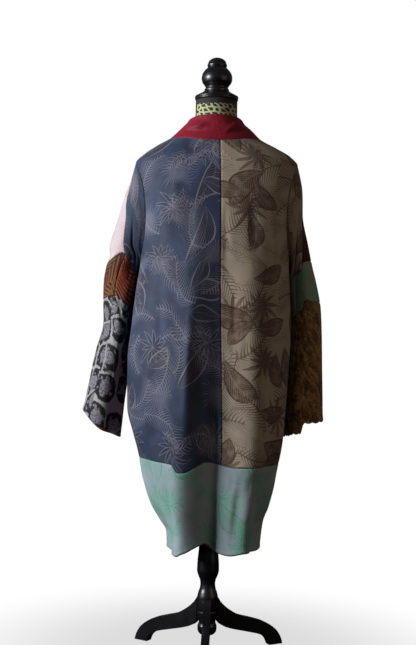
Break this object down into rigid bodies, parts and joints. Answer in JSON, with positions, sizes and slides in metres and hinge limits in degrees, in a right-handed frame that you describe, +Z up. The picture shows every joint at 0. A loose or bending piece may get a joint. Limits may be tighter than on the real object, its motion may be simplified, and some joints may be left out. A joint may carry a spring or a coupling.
{
  "type": "kimono coat on a dress form stand",
  "caption": "Patchwork kimono-style coat with wide sleeves and a cocoon hem, worn by a limbless dress form on a turned column with a three-legged base.",
  "frame": {"origin": "on the floor under the middle of the object's box", "axes": "+Z up, the coat's back faces -Y and its open front +Y, the wearer's left is -X"},
  "size_m": [0.6018, 0.3418, 1.486],
  "materials": {
    "cloth_blue": "matte",
    "cloth_taupe": "matte",
    "cloth_crimson": "matte",
    "cloth_plum": "matte",
    "cloth_slate": "matte",
    "cloth_band": "matte",
    "cloth_pale": "matte",
    "cloth_rust": "matte",
    "cloth_amber": "matte",
    "cloth_leopard": "matte",
    "cloth_stripe": "matte",
    "cloth_green_grey": "matte",
    "cloth_lace": "satin",
    "cloth_orange": "matte",
    "cloth_mustard": "matte",
    "form_cloth": "matte",
    "painted_wood": "satin"
  },
  "bodies": {
    "root": {"back_left": "cloth_blue", "back_right": "cloth_taupe", "back_hem_band": "cloth_band", "front_left": "cloth_plum", "front_right": "cloth_slate", "front_hem_band_left": "cloth_band", "front_hem_band_right": "cloth_band", "collar_left": "cloth_crimson", "collar_right": "cloth_crimson", "sleeve_left_upper_back": "cloth_blue", "sleeve_left_upper_front": "cloth_pale", "sleeve_left_middle_back": "cloth_rust", "sleeve_left_middle_front": "cloth_amber", "sleeve_left_lower": "cloth_leopard", "sleeve_left_cuff_facing": "cloth_orange", "sleeve_right_upper_back": "cloth_taupe", "sleeve_right_upper_front": "cloth_stripe", "sleeve_right_middle_back": "cloth_green_grey", "sleeve_right_middle_front": "cloth_green_grey", "sleeve_right_lower": "cloth_lace", "hem_facing": "cloth_mustard", "form_torso": "form_cloth", "neck_cap": "painted_wood", "finial": "painted_wood", "column": "painted_wood", "hub": "painted_wood", "leg_front": "painted_wood", "leg_right": "painted_wood", "leg_left": "painted_wood"}
  },
  "joints": []
}
